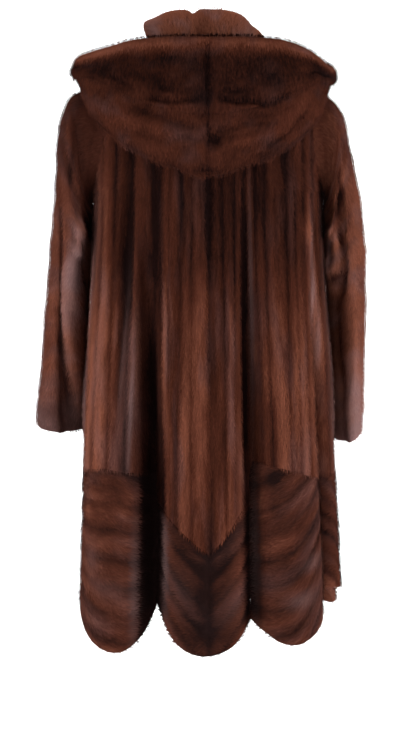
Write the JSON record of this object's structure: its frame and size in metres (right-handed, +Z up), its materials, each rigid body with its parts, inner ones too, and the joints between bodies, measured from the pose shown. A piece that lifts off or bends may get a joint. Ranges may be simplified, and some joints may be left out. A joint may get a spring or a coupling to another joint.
{
  "type": "fur coat",
  "caption": "Knee-length hooded fur coat with long sleeves, upright skins, a scalloped border of crosswise skins, and its hood laid down on the back.",
  "frame": {"origin": "between the shoulders, level with the points where the shoulder seams meet the neck band; the wearer's shoulders hold the coat there", "axes": "+Z up; the wearer faces -Y, so the back and the hood are at +Y; the left sleeve is at +X"},
  "size_m": [0.5843, 0.4, 1.0848],
  "materials": {
    "fur": "dense short mink pile, dark reddish brown",
    "border_fur": "dense short mink pile laid crosswise, dark brown"
  },
  "bodies": {
    "root": {"back_centre": "fur", "back_left": "fur", "back_right": "fur", "front_left": "fur", "front_right": "fur", "border_back_centre": "border_fur", "border_back_left": "border_fur", "border_back_right": "border_fur", "border_front_left": "border_fur", "border_front_right": "border_fur", "sleeve_left": "fur", "sleeve_right": "fur", "hood_left": "fur", "hood_right": "fur", "brim_left": "fur", "brim_right": "fur", "collar": "fur"}
  },
  "joints": []
}
